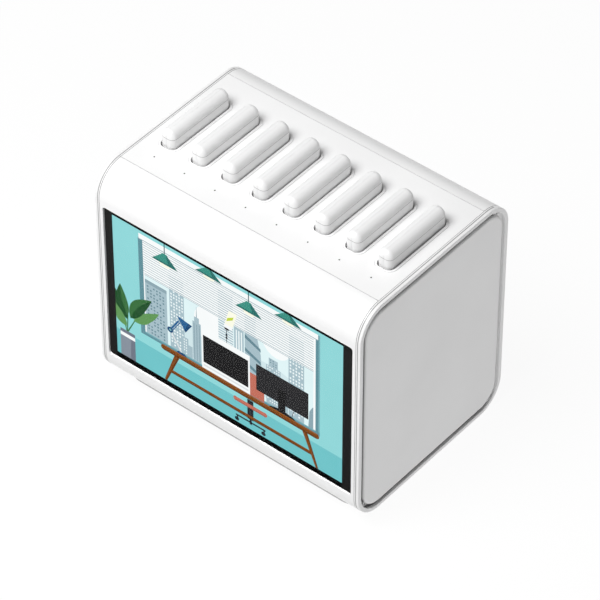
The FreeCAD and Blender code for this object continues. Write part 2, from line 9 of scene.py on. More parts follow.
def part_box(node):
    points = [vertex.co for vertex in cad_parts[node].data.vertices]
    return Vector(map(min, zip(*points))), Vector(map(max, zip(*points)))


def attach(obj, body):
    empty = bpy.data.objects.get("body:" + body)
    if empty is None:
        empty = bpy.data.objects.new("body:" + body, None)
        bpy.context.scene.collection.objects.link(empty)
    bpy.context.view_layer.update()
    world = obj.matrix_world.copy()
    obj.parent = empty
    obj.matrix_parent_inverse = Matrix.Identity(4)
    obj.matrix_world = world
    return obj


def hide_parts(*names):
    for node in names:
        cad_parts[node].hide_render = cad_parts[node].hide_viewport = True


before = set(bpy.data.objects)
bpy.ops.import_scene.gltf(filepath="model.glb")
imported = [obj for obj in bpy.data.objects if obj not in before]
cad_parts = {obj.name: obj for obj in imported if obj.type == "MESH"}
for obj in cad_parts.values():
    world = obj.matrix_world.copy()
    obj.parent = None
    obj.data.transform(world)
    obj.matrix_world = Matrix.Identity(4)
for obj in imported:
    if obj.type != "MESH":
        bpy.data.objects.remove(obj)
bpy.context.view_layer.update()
MM = 0.001
CABINET = "cabinet"
PICTURE_X = (-109.2, 107.6)     # mm
PICTURE_Z = (36.1, 174.3)


# ---- materials ----------------------------------------------------------
def linear(colour):
    """Linear RGBA of an sRGB colour given as three numbers from 0 to 255."""
    values = []
    for c in colour:
        c /= 255
        values.append(c / 12.92 if c <= 0.04045 else ((c + 0.055) / 1.055) ** 2.4)
    return (*values, 1.0)


def grey(value):
    return (value, value, value, 1.0)


class Shader:
    """A node material under construction."""

    def __init__(self, name):
        self.material = bpy.data.materials.new(name)
        self.material.use_nodes = True
        self.tree = self.material.node_tree
        self.tree.nodes.clear()
        self.out = self.node("ShaderNodeOutputMaterial")
        self.bsdf = self.node("ShaderNodeBsdfPrincipled")
        self.link(self.bsdf, "BSDF", self.out, "Surface")
        self.coords = self.node("ShaderNodeTexCoord")

    def node(self, kind, **settings):
        made = self.tree.nodes.new(kind)
        for key, value in settings.items():
            setattr(made, key, value)
        return made

    def link(self, a, output, b, name):
        self.tree.links.new(a.outputs[output], b.inputs[name])

    def set(self, **values):
        for key, value in values.items():
            self.bsdf.inputs[key.replace("_", " ")].default_value = value

    def stretched(self, scale):
        mapping = self.node("ShaderNodeMapping")
        mapping.inputs["Scale"].default_value = scale
        self.link(self.coords, "Object", mapping, "Vector")
        return mapping

    def noise(self, scale, detail=3.0, stretch=None):
        texture = self.node("ShaderNodeTexNoise")
        texture.inputs["Scale"].default_value = scale
        texture.inputs["Detail"].default_value = detail
        if stretch:
            self.link(self.stretched(stretch), "Vector", texture, "Vector")
        else:
            self.link(self.coords, "Object", texture, "Vector")
        return texture

    def ramp(self, source, output, low, high, start=0.35, end=0.65):
        ramp = self.node("ShaderNodeValToRGB")
        ramp.color_ramp.elements[0].position = start
        ramp.color_ramp.elements[0].color = low
        ramp.color_ramp.elements[1].position = end
        ramp.color_ramp.elements[1].color = high
        self.link(source, output, ramp, "Fac")
        return ramp

    def bump(self, source, output, strength, distance=0.0001):
        bump = self.node("ShaderNodeBump")
        bump.inputs["Strength"].default_value = strength
        bump.inputs["Distance"].default_value = distance
        self.link(source, output, bump, "Height")
        self.link(bump, "Normal", self.bsdf, "Normal")

    def axis(self, name):
        split = self.node("ShaderNodeSeparateXYZ")
        self.link(self.coords, "Object", split, "Vector")
        return split, name

    def within(self, name, low, high):
        """1 where the object coordinate is between low and high, else 0."""
        split, axis = self.axis(name)
        above = self.node("ShaderNodeMath", operation="GREATER_THAN")
        above.inputs[1].default_value = low
        self.link(split, axis, above, 0)
        below = self.node("ShaderNodeMath", operation="LESS_THAN")
        below.inputs[1].default_value = high
        self.link(split, axis, below, 0)
        both = self.node("ShaderNodeMath", operation="MULTIPLY")
        self.link(above, "Value", both, 0)
        self.link(below, "Value", both, 1)
        return both


def moulded(name, low, high, roughness, grain=900.0, bump=0.06):
    """Moulded plastic: a slight drift of colour and a fine skin texture."""
    s = Shader(name)
    drift = s.noise(14.0, 2.0)
    colour = s.ramp(drift, "Fac", low, high)
    s.link(colour, "Color", s.bsdf, "Base Color")
    skin = s.noise(grain, 4.0)
    s.bump(skin, "Fac", bump)
    s.set(Roughness=roughness)
    return s.material


def metal(name, low, high, roughness, stretch=(1.0, 1.0, 1.0), scale=700.0, metallic=1.0):
    s = Shader(name)
    grain = s.noise(scale, 4.0, stretch)
    colour = s.ramp(grain, "Fac", low, high, 0.3, 0.7)
    s.link(colour, "Color", s.bsdf, "Base Color")
    s.bump(grain, "Fac", 0.12)
    s.set(Roughness=roughness, Metallic=metallic)
    return s.material


def two_part(name, plastic, metal_colour, masks, roughness=0.45):
    """Dark plastic with metal where every mask is 1."""
    s = Shader(name)
    skin = s.noise(1200.0, 3.0)
    base = s.ramp(skin, "Fac", plastic, tuple(min(1.0, c * 1.5) for c in plastic[:3]) + (1.0,))
    where = None
    for axis, low, high in masks:
        mask = s.within(axis, low, high)
        if where is None:
            where = mask
        else:
            both = s.node("ShaderNodeMath", operation="MULTIPLY")
            s.link(where, "Value", both, 0)
            s.link(mask, "Value", both, 1)
            where = both
    mix = s.node("ShaderNodeMix", data_type="RGBA")
    s.tree.links.new(where.outputs["Value"], mix.inputs[0])
    s.tree.links.new(base.outputs["Color"], mix.inputs[6])
    mix.inputs[7].default_value = metal_colour
    s.tree.links.new(mix.outputs[2], s.bsdf.inputs["Base Color"])
    s.tree.links.new(where.outputs["Value"], s.bsdf.inputs["Metallic"])
    s.bump(skin, "Fac", 0.05)
    s.set(Roughness=roughness)
    return s.material


def shaded_white(name, where, shades, low=0.895, high=0.925, roughness=0.36, clear_behind=None):
    """White plastic with painted shade that deepens inside a recess: shades is (distance, shade) along one
    folded coordinate.

    Behind clear_behind (mm along Y) no painted shade is applied and the recess stays pale.
    """
    s = Shader(name)
    drift = s.noise(14.0, 2.0)
    colour = s.ramp(drift, "Fac", grey(low), grey(high))
    axis, centre = where
    split, output = s.axis(axis)
    offset = s.node("ShaderNodeMath", operation="SUBTRACT")
    offset.inputs[1].default_value = centre
    s.link(split, output, offset, 0)
    fold = s.node("ShaderNodeMath", operation="ABSOLUTE")
    s.link(offset, "Value", fold, 0)
    first, last = shades[0][0] * MM, shades[-1][0] * MM
    span = s.node("ShaderNodeMapRange")
    span.inputs["From Min"].default_value = first
    span.inputs["From Max"].default_value = last
    s.link(fold, "Value", span, "Value")
    ramp = s.node("ShaderNodeValToRGB")
    while len(ramp.color_ramp.elements) < len(shades):
        ramp.color_ramp.elements.new(0.5)
    for element, (distance, shade) in zip(ramp.color_ramp.elements, shades):
        element.position = (distance * MM - first) / (last - first)
        element.color = grey(shade)
    s.link(span, "Result", ramp, "Fac")
    mix = s.node("ShaderNodeMix", data_type="RGBA", blend_type="MULTIPLY")
    mix.inputs[0].default_value = 1.0
    s.tree.links.new(colour.outputs["Color"], mix.inputs[6])
    s.tree.links.new(ramp.outputs["Color"], mix.inputs[7])
    if clear_behind is not None:
        front = s.within("Y", -1.0, clear_behind * MM)
        s.tree.links.new(front.outputs["Value"], mix.inputs[0])
    s.tree.links.new(mix.outputs[2], s.bsdf.inputs["Base Color"])
    skin = s.noise(900.0, 4.0)
    s.bump(skin, "Fac", 0.05)
    s.set(Roughness=roughness)
    return s.material


GROOVE_SHADE_STOP = 70.0      # mm along Y; behind it the end rim's groove gets no painted shade
BANK_CREASE = 216.8     # mm, painted shade line round the top of each power bank where its rounded top meets the wall, not modelled
CREASE_SHADE = 0.45
white = moulded("white_gloss_plastic", grey(0.895), grey(0.925), 0.36)
# painted shade: the shell darkens in the seam where it meets the end frames
shell_white = shaded_white("shell_white_plastic_painted_seam_shade", ("X", 0.0),
                           [(119.0, 1.0), (119.75, 0.97), (119.85, 0.25), (120.2, 0.25)])
# painted shade: the end rims darken at the seam with the shell and inside the groove round the side panels
rim_white = shaded_white("rim_white_plastic_painted_groove_shade", ("X", 0.0),
                         [(120.1, 0.25), (120.25, 1.0), (121.05, 1.0), (121.12, 0.10), (121.5, 0.40),
                          (122.2, 0.97), (124.2, 1.0)], clear_behind=GROOVE_SHADE_STOP)
# painted shade: the side panels darken at their edges inside the groove
panel_white = shaded_white("side_panel_white_plastic_painted_groove_shade", ("X", 0.0),
                           [(121.1, 0.12), (121.9, 0.30), (122.6, 0.85), (123.4, 1.0)],
                           clear_behind=GROOVE_SHADE_STOP)
SEAM_WIDTH = 0.30       # mm, width of the painted shade along the edge where the top panel meets the shell
SEAM_SHADE = 0.74
panel_low, panel_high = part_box("top_panel")
panel_half = (panel_high.y - panel_low.y) / 2 / MM
top_white = shaded_white("top_panel_white_plastic_painted_seam_shade", ("Y", (panel_high.y + panel_low.y) / 2),
                         [(0.0, 1.0), (panel_half - SEAM_WIDTH - 0.06, 1.0),
                          (panel_half - SEAM_WIDTH, SEAM_SHADE), (panel_half, SEAM_SHADE)])
satin_white = moulded("satin_white_plastic", grey(0.84), grey(0.88), 0.5, 1400.0, 0.12)
bank_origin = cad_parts["power_bank_1"].matrix_world.translation.z / MM
# painted shade: a darker line along the crease round each power bank's top
bank_white = shaded_white("bank_white_plastic_painted_crease_shade", ("Z", (BANK_CREASE - bank_origin) * MM),
                          [(0.0, CREASE_SHADE), (0.18, CREASE_SHADE), (0.24, 1.0), (0.5, 1.0)], 0.89, 0.915)
base_grey = moulded("base_grey_plastic", grey(0.50), grey(0.56), 0.6, 1200.0, 0.14)
inner_grey = moulded("inner_grey_plastic", grey(0.085), grey(0.11), 0.55, 1200.0, 0.14)
ejector_grey = moulded("ejector_grey_plastic", grey(0.26), grey(0.31), 0.45, 1200.0, 0.1)
foot_rubber = moulded("foot_rubber", grey(0.020), grey(0.032), 0.8, 2200.0, 0.3)
pinhole = moulded("light_pipe_smoke", grey(0.035), grey(0.055), 0.25, 1500.0, 0.02)
cable_black = moulded("cable_black", grey(0.016), grey(0.028), 0.5, 1600.0, 0.1)
rocker_black = moulded("rocker_black", grey(0.018), grey(0.026), 0.3, 1500.0, 0.06)
coil_wrap = moulded("coil_wrap_tape", (0.03, 0.05, 0.20, 1), (0.05, 0.08, 0.28, 1), 0.35, 900.0, 0.1)
lcd_back = moulded("display_module_frame", grey(0.10), grey(0.14), 0.4, 1200.0, 0.06)
steel = metal("screw_steel", grey(0.42), grey(0.62), 0.32)
spring_steel = metal("spring_steel", grey(0.40), grey(0.58), 0.28, (1.0, 1.0, 8.0))
zinc = metal("zinc_sheet", (0.44, 0.46, 0.47, 1), (0.60, 0.62, 0.63, 1), 0.42, (1.0, 0.06, 1.0), 400.0)
gold = metal("gold_contact", (0.78, 0.54, 0.20, 1), (0.92, 0.68, 0.30, 1), 0.25)


def glazing():
    s = Shader("cover_glass_clear")
    wave = s.noise(60.0, 1.0)
    tint = s.ramp(wave, "Fac", (0.985, 0.99, 0.99, 1), (1, 1, 1, 1))
    s.link(tint, "Color", s.bsdf, "Base Color")
    s.set(Roughness=0.0, IOR=1.06, Transmission_Weight=1.0)
    return s.material


def border_print():
    """Printed border behind the glass: near black over and under the picture, charcoal at its two ends."""
    s = Shader("glass_border_print")
    skin = s.noise(1500.0, 3.0)
    strips = s.ramp(skin, "Fac", grey(0.0015), grey(0.0020))
    ends = s.ramp(skin, "Fac", grey(0.028), grey(0.032))
    middle = s.within("X", PICTURE_X[0] * MM, PICTURE_X[1] * MM)
    mix = s.node("ShaderNodeMix", data_type="RGBA")
    s.tree.links.new(middle.outputs["Value"], mix.inputs[0])
    s.tree.links.new(ends.outputs["Color"], mix.inputs[6])
    s.tree.links.new(strips.outputs["Color"], mix.inputs[7])
    s.tree.links.new(mix.outputs[2], s.bsdf.inputs["Base Color"])
    s.bump(skin, "Fac", 0.02)
    s.set(Roughness=0.35)
    return s.material


def circuit_board():
    s = Shader("circuit_board_green")
    brick = s.node("ShaderNodeTexBrick")
    brick.inputs["Scale"].default_value = 160.0
    brick.inputs["Color1"].default_value = (0.012, 0.085, 0.035, 1)
    brick.inputs["Color2"].default_value = (0.018, 0.120, 0.050, 1)
    brick.inputs["Mortar"].default_value = (0.050, 0.230, 0.090, 1)
    brick.inputs["Mortar Size"].default_value = 0.06
    s.link(s.coords, "Object", brick, "Vector")
    s.link(brick, "Color", s.bsdf, "Base Color")
    s.bump(brick, "Fac", 0.15)
    s.set(Roughness=0.35)
    return s.material


MATERIAL_OF = {
    "main_shell": shell_white, "top_panel": top_white, "slot_collars": white,
    "left_end_frame": rim_white, "right_end_frame": rim_white,
    "left_side_panel": panel_white, "right_side_panel": panel_white,
    "rear_cover": satin_white, "base_plate": base_grey, "rubber_feet": foot_rubber,
    "frame_screws": steel, "base_screws": steel, "rear_cover_screws": steel,
    "cover_glass": glazing(), "glass_border": border_print(), "lcd_panel": lcd_back,
    "display_bracket": inner_grey, "slot_cradles": inner_grey, "slot_deck": inner_grey,
    "light_pipes": pinhole, "ejector_springs": spring_steel, "lock_bracket": zinc, "power_supply": zinc,
    "lock_coils": coil_wrap, "speaker": cable_black, "wiring": cable_black, "power_rocker": rocker_black,
}
board_green = circuit_board()
for node in ("led_board", "slot_board", "main_board", "antenna"):
    MATERIAL_OF[node] = board_green

inlet_low, inlet_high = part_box("power_inlet")
inlet_mid = (inlet_low + inlet_high) / 2
PIN_REACH = 6.0 * MM
MATERIAL_OF["power_inlet"] = two_part(
    "power_inlet_plastic_and_pins", grey(0.020), (0.62, 0.60, 0.55, 1),
    [("X", inlet_mid.x - PIN_REACH, inlet_mid.x + PIN_REACH),
     ("Y", inlet_high.y - 11.9 * MM, inlet_high.y - 2.5 * MM),
     ("Z", inlet_mid.z - 1.25 * MM, inlet_mid.z + 1.25 * MM)])
MATERIAL_OF["switch_housing"] = moulded("switch_housing_black", grey(0.018), grey(0.028), 0.5, 1400.0, 0.1)
block_low, block_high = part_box("charging_blocks")
MATERIAL_OF["charging_blocks"] = two_part(
    "charging_block_plastic_and_pins", grey(0.022), (0.85, 0.60, 0.25, 1),
    [("Z", block_high.z - 2.45 * MM, block_high.z + 1.0 * MM)], 0.4)
SLOTS = range(1, 9)
for i in SLOTS:
    MATERIAL_OF["power_bank_%d" % i] = bank_white
    MATERIAL_OF["ejector_%d" % i] = ejector_grey
    MATERIAL_OF["lock_bolt_%d" % i] = steel
for name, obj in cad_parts.items():
    for place in obj.material_slots:
        place.material = MATERIAL_OF[name]
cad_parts["cover_glass"].visible_shadow = False     # clear glass: the light reaches the border behind it


# ---- building pieces ----------------------------------------------------
def new_piece(name, mesh, body, materials):
    obj = bpy.data.objects.new(name, mesh)
    bpy.context.scene.collection.objects.link(obj)
    for material in materials:
        mesh.materials.append(material)
    if body:
        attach(obj, body)
    return obj


def mesh_of(name, bm):
    bmesh.ops.recalc_face_normals(bm, faces=bm.faces)
    mesh = bpy.data.meshes.new(name)
    bm.to_mesh(mesh)
    bm.free()
    return mesh


# ---- the picture on the display -----------------------------------------
glass_low, glass_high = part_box("cover_glass")
border_low, border_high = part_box("glass_border")
PICTURE_GAP = 0.02

INKS = {
    "wall": (146, 217, 219), "wall_shade": (146, 216, 218), "wainscot": (113, 197, 202),
    "frame_dark": (98, 145, 156), "frame_light": (122, 176, 184),
    "white": (250, 253, 253), "sky": (226, 246, 248), "haze": (212, 233, 237), "slat": (250, 253, 253),
    "slat_gap": (158, 178, 186), "block": (142, 168, 178), "block_light": (168, 192, 201),
    "block_dark": (104, 138, 150), "pane": (240, 250, 251), "shade": (62, 146, 132),
    "shade_dark": (44, 112, 106),
    "cord": (58, 96, 100), "glow": (251, 251, 232), "lamp": (42, 98, 148), "lamp_dark": (28, 74, 118),
    "leaf": (58, 112, 62), "leaf_light": (98, 152, 88), "leaf_dark": (34, 82, 44), "stem": (62, 120, 72),
    "pot": (136, 146, 158), "pot_dark": (112, 120, 134), "wood": (128, 72, 26), "wood_dark": (96, 52, 18),
    "wood_light": (152, 92, 40), "ink_black": (32, 32, 33), "soft_black": (44, 44, 46),
    "silver": (224, 228, 230),
    "salmon": (196, 112, 94), "salmon_dark": (168, 88, 76), "chair_black": (36, 44, 50),
    "lime": (196, 214, 66), "cream": (253, 253, 234),
}


DISPLAY_DRIFT = 0.985


def ink(name, colour):
    """A lit display colour with a faint drift."""
    s = Shader("display_" + name)
    full = linear(colour)
    dim = tuple(c * DISPLAY_DRIFT for c in full[:3]) + (1.0,)
    drift = s.noise(22.0, 2.0)
    shade = s.ramp(drift, "Fac", dim, full)
    s.link(shade, "Color", s.bsdf, "Emission Color")
    s.set(Base_Color=(0.001, 0.001, 0.001, 1), Roughness=0.5, Emission_Strength=1.0, Specular_IOR_Level=0.0)
    return s.material


layers = []         # (ink, outline) from the back of the picture to the front


def paint(colour, points):
    points = [(min(max(x, PICTURE_X[0]), PICTURE_X[1]), min(max(z, PICTURE_Z[0]), PICTURE_Z[1]))
              for x, z in points]
    turning = sum(a[0] * b[1] - b[0] * a[1] for a, b in zip(points, points[1:] + points[:1]))
    layers.append((colour, points if turning > 0 else points[::-1]))


def bar(colour, x0, x1, z0, z1):
    paint(colour, [(x0, z0), (x1, z0), (x1, z1), (x0, z1)])


def disc(colour, x, z, rx, rz, sides=20):
    paint(colour, [(x + rx * math.cos(2 * math.pi * i / sides), z + rz * math.sin(2 * math.pi * i / sides))
                   for i in range(sides)])


def stroke(colour, start, end, width, end_width=None):
    end_width = width if end_width is None else end_width
    along = Vector((end[0] - start[0], end[1] - start[1])).normalized()
    across = Vector((-along.y, along.x))
    a, b = across * width / 2, across * end_width / 2
    paint(colour, [(start[0] + a.x, start[1] + a.y), (start[0] - a.x, start[1] - a.y),
                   (end[0] - b.x, end[1] - b.y), (end[0] + b.x, end[1] + b.y)])


def leaf(colour, base, tip, belly, bow=0.0, cut=None):
    """Pointed leaf from base to tip; bow bends its midrib sideways. cut keeps one half only."""
    base, tip = Vector(base), Vector(tip)
    along = tip - base
    across = Vector((-along.y, along.x)).normalized()
    steps = 9
    left, right, mid = [], [], []
    for i in range(steps + 1):
        t = i / steps
        middle = base + along * t + across * bow * math.sin(math.pi * t)
        half = belly * math.sin(math.pi * t ** 0.8) ** 0.9 if 0 < i < steps else 0.0
        mid.append(tuple(middle))
        left.append(tuple(middle + across * half))
        right.append(tuple(middle - across * half))
    if cut == "half":
        paint(colour, left + mid[-2:0:-1])
    else:
        paint(colour, left + right[-2:0:-1])


def window_grid(x0, x1, z0, z1, nx, nz, colour="pane", fill=0.55, skip=5):
    """Rows of small panes on a building; every skip-th one is left dark."""
    dx, dz = (x1 - x0) / nx, (z1 - z0) / nz
    for i in range(nx):
        for k in range(nz):
            if (i * 3 + k * 7) % skip == 0:
                continue
            cx, cz = x0 + (i + 0.5) * dx, z0 + (k + 0.5) * dz
            bar(colour, cx - dx * fill / 2, cx + dx * fill / 2, cz - dz * fill / 2, cz + dz * fill / 2)


def floor_bands(x0, x1, z0, z1, count, colour="pane", fill=0.42):
    dz = (z1 - z0) / count
    for k in range(count):
        cz = z0 + (k + 0.5) * dz
        bar(colour, x0, x1, cz - dz * fill / 2, cz + dz * fill / 2)


def room():
    bar("wall", PICTURE_X[0], PICTURE_X[1], PICTURE_Z[0], PICTURE_Z[1])
    bar("wall_shade", 86.5, PICTURE_X[1], 61.0, PICTURE_Z[1])
    bar("wainscot", PICTURE_X[0], PICTURE_X[1], PICTURE_Z[0], 61.0)


def skyline():
    bar("sky", -82, 84, 74, 168)
    disc("haze", -30, 92, 26, 16)
    disc("haze", 40, 96, 34, 18)
    disc("white", -14, 118, 18, 20)
    disc("white", 46, 140, 14, 16)
    bar("block_light", -79, -58, 74, 127)
    bar("block", -79, -58, 125, 128.5)
    window_grid(-78, -60, 75, 124, 6, 16, "block_dark", 0.5, 4)
    bar("block_light", -55.5, -41.5, 74, 136)
    bar("block_light", -53, -44, 136, 141)
    bar("block_light", -50.5, -46.5, 141, 147)
    window_grid(-55, -42, 76, 136, 5, 20, "pane", 0.55, 6)
    window_grid(-52.5, -44.5, 136, 141, 3, 2, "block_dark", 0.5, 4)
    bar("block_light", -44, -38, 74, 92)
    window_grid(-43, -39, 75, 91, 2, 6, "pane", 0.5, 9)
    bar("block_light", -33.5, -25.5, 74, 114)
    bar("block_light", -31.8, -27.2, 114, 119)
    stroke("block", (-29.5, 119), (-29.5, 130), 0.8, 0.2)
    for x in (-32.0, -29.5, -27.0):
        bar("block", x - 0.45, x + 0.45, 75, 112)
    bar("block_light", -38, -34, 74, 86)
    bar("block_light", -8.5, 5.5, 74, 160)
    floor_bands(-8.5, 5.5, 76, 160, 34, "pane", 0.5)
    window_grid(-8, 5, 76, 112, 6, 15, "block_dark", 0.4, 3)
    bar("block_light", 6.5, 15.5, 74, 132)
    for x in (8.0, 10.4, 12.8):
        bar("pane", x, x + 1.2, 76, 130)
    paint("block_light", [(16.5, 74), (33.5, 74), (31.5, 118), (27, 140), (22.5, 154), (16.5, 154)])
    for k in range(5):
        low = 82 + k * 13
        paint("block_dark", [(16.5, low + 6), (31.6, low), (31.2, low + 3.2), (16.5, low + 9.6)])
    floor_bands(16.5, 25, 137, 154, 7, "pane", 0.5)
    bar("block_light", 36.5, 50, 74, 113)
    bar("block_light", 39, 47.5, 113, 121)
    window_grid(37, 49.5, 76, 113, 6, 14, "pane", 0.5, 5)
    window_grid(39.5, 47, 113.5, 120.5, 3, 3, "block_dark", 0.45, 4)
    paint("block_light", [(57.5, 74), (72, 74), (72, 156), (68, 153), (62, 146), (57.5, 141)])
    window_grid(58, 71.5, 76, 140, 5, 20, "pane", 0.55, 6)
    floor_bands(61, 72, 140, 154, 6, "block_dark", 0.35)
    paint("block", [(76, 74), (84, 74), (84, 96), (80, 96), (77, 90)])
    bar("block_light", -24, -9, 74, 84)
    bar("block_light", 51, 57, 74, 88)


def blinds():
    """Slats with a gap under each one, where the tall towers show darker."""
    rows = 14
    top, bottom = 166.0, 133.5
    step = (top - bottom) / rows
    for k in range(rows):
        z = top - (k + 1) * step
        bar("slat_gap", -80.5, 82.5, z, z + 0.26 * step)
        bar("slat", -80.5, 82.5, z + 0.26 * step, z + 1.02 * step)
        for x0, x1, roof in ((-55.5, -41.5, 147), (-8.5, 5.5, 160), (16.5, 27, 156), (58, 72, 156)):
            if z < roof:
                bar("block", x0, x1, z, z + 0.34 * step)
    bar("slat_gap", -80.5, 82.5, 132.2, 133.5)
    bar("white", -80.5, 82.5, 132.7, 133.5)


def window():
    skyline()
    blinds()
    bar("frame_dark", -84.5, -80.2, 70.5, 167)
    bar("white", -80.2, -79.2, 74, 134)
    bar("white", 80.6, 82.6, 74, 166)
    bar("frame_dark", 82.6, 86.6, 70.5, 171)
    bar("frame_light", 85.3, 86.6, 70.5, 171)
    bar("frame_dark", -84.5, 86.6, 70.5, 74.2)
    bar("frame_light", -80.2, 82.6, 73.0, 74.2)
    bar("white", -83.8, 84.8, 166.0, 171.2)
    bar("slat_gap", -83.8, 84.8, 165.5, 166.3)


def pendant(x, z, cord_top):
    """Hanging lamp whose shade's lower rim is at height z."""
    disc("glow", x, z - 0.4, 5.6, 2.4)
    if cord_top > z + 9:
        bar("cord", x - 0.45, x + 0.45, z + 9, cord_top)
    paint("shade", [(x - 12.6, z), (x + 12.6, z), (x + 3.2, z + 8.8), (x + 2.0, z + 10.4),
                    (x - 2.0, z + 10.4), (x - 3.2, z + 8.8)])
    paint("shade_dark", [(x - 12.6, z), (x + 12.6, z), (x + 10.6, z + 1.7), (x - 10.6, z + 1.7)])
    paint("shade_dark", [(x + 3.4, z + 1.6), (x + 10.6, z + 1.6), (x + 3.2, z + 8.8), (x + 1.2, z + 8.8)])


def plant():
    for tip in ((-103, 80), (-97, 86), (-88, 84), (-95, 70)):
        stroke("stem", (-98.5, 62), tip, 1.1, 0.8)
    leaf("leaf_dark", (-98, 76), (-112, 104), 6.0, 2.0)
    leaf("leaf_light", (-99, 68), (-112, 88), 5.0, 1.5)
    leaf("leaf", (-98, 80), (-104, 109), 5.6, 2.0)
    leaf("leaf_dark", (-98, 80), (-104, 109), 5.6, 2.0, "half")
    leaf("leaf_light", (-94, 80), (-66, 100), 4.2, -2.0)
    leaf("leaf_dark", (-95, 79), (-73, 109), 6.2, 2.6)
    leaf("leaf", (-95, 79), (-73, 109), 6.2, 2.6, "half")
    leaf("leaf_light", (-92, 78), (-72, 91), 2.8, -1.4)
    bar("pot", -105.5, -91, 36, 60)
    paint("pot_dark", [(-96, 36), (-91, 36), (-91, 60), (-95, 60)])
    bar("white", -105.5, -91, 56.5, 60)
    bar("pot_dark", -105.5, -91, 60, 63.4)


def desk_lamp():
    paint("lamp_dark", [(-50.5, 71.3), (-39.5, 71.3), (-42, 74), (-48, 74)])
    stroke("silver", (-45, 74), (-55, 90), 1.3)
    stroke("lamp", (-55.5, 91), (-47, 105), 1.5)
    stroke("lamp", (-53.8, 91), (-45.6, 104), 0.8)
    disc("lamp_dark", -55.5, 91, 2.8, 2.8)
    disc("frame_light", -55.5, 91, 1.2, 1.2)
    paint("lamp", [(-48.5, 109.5), (-34, 107.5), (-40.5, 97.0)])
    paint("lamp_dark", [(-34, 107.5), (-40.5, 97.0), (-41.6, 98.6), (-37.5, 107.9)])


def card_stand():
    """Small leaning card on a thin stand behind the left screen."""
    paint("cream", [(-3.6, 126), (4.2, 126), (9.4, 145), (1.8, 145)])
    paint("lime", [(-0.8, 133), (5.2, 137), (6.2, 140.6), (0.2, 136.6)])
    paint("white", [(-3.6, 126), (4.2, 126), (5.2, 129.6), (-2.6, 129.6)])
    disc("ink_black", -0.6, 125.0, 2.4, 1.0)
    for z in (118.8, 116.0):
        disc("chair_black", -0.8, z, 1.0, 1.2)
    bar("chair_black", -1.1, -0.5, 110, 125)


def screens():
    bar("salmon", 20.5, 27.5, 72, 95)
    bar("salmon", 20.5, 34.5, 72, 81)
    bar("white", -25, 21, 71.4, 111)
    bar("silver", -23.5, 19.5, 74.2, 76.0)
    bar("silver", -25, 21, 71.4, 72.2)
    bar("ink_black", -23.6, 19.4, 78.0, 105.4)
    bar("ink_black", 27, 76, 81, 107.2)
    bar("soft_black", 27.7, 75.3, 81.8, 106.4)
    paint("ink_black", [(47.5, 74), (54.5, 74), (54.5, 92), (55.5, 95), (46.5, 95), (47.5, 92)])
    paint("ink_black", [(38.5, 71.3), (64.5, 71.3), (62, 73.2), (55.5, 74.6), (47, 74.6), (41, 73.2)])
    stroke("chair_black", (60.5, 73.5), (62.5, 81), 0.5)


def chair():
    bar("chair_black", 18.2, 24.0, 46, 66)
    bar("chair_black", 20.2, 22.4, 41, 48)
    bar("salmon", 7, 35, 57.8, 61.6)
    disc("salmon", 7, 59.7, 2.2, 2.2)
    disc("salmon", 35, 59.7, 2.2, 2.2)
    bar("salmon_dark", 6, 36, 57.6, 58.5)
    bar("chair_black", 7, 35.5, 42.4, 44.0)
    for x in (8.6, 34.0):
        bar("chair_black", x - 0.7, x + 0.7, 39.5, 43)
        disc("chair_black", x - 0.6, 39.2, 2.1, 1.9)


def desk():
    for foot, head in (((-61.2, 36.0), (-49.5, 67.0)), ((84.2, 36.0), (72.5, 67.0))):
        stroke("wood", head, foot, 4.6, 2.6)
        stroke("wood_dark", (head[0] + 1.5, head[1]), (foot[0] + 0.8, foot[1]), 1.2, 0.8)
    bar("wood", -55.5, 78.5, 46.6, 50.2)
    bar("wood_dark", -55.5, 78.5, 46.6, 47.7)
    bar("wood", -62.6, 83.6, 66.4, 71.6)
    disc("wood", -62.6, 69.0, 2.6, 2.6)
    disc("wood", 83.6, 69.0, 2.6, 2.6)
    bar("wood_dark", -62.8, 83.8, 66.3, 67.7)
    bar("wood_light", -62.8, 83.8, 70.4, 71.5)


def picture():
    """One thin slab: the layers merge into a flat mosaic, and the front one at each place gives its ink."""
    room()
    window()
    card_stand()
    pendant(-17, 166.8, 175)
    pendant(57, 166.8, 175)
    pendant(-59, 154.2, 174.3)
    pendant(20.5, 154.2, 174.3)
    plant()
    chair()
    screens()
    desk_lamp()
    desk()
    points, faces = [], []
    for colour, outline in layers:
        faces.append(list(range(len(points), len(points) + len(outline))))
        points.extend(Vector(p) for p in outline)
    inside_constraints = 1
    flat, _, cells, _, _, owners = delaunay_2d_cdt(points, [], faces, inside_constraints, 1e-4)
    names = list(INKS)
    front_y = (glass_high.y + PICTURE_GAP * MM)
    back_y = (border_high.y - PICTURE_GAP * MM)
    bm = bmesh.new()
    front = [bm.verts.new((p.x * MM, front_y, p.y * MM)) for p in flat]
    back = [bm.verts.new((p.x * MM, back_y, p.y * MM)) for p in flat]
    rim = {}
    for cell, owner in zip(cells, owners):
        face = bm.faces.new([front[i] for i in cell])
        face.material_index = names.index(layers[max(owner)][0])
        bm.faces.new([back[i] for i in reversed(cell)]).material_index = names.index("ink_black")
        for a, b in zip(cell, cell[1:] + cell[:1]):
            if (b, a) in rim:
                del rim[(b, a)]
            else:
                rim[(a, b)] = True
    for a, b in rim:
        bm.faces.new([front[b], front[a], back[a], back[b]]).material_index = names.index("ink_black")
    materials = [ink(name, INKS[name]) for name in names]
    return new_piece("display_picture", mesh_of("display_picture", bm), CABINET, materials)


picture()


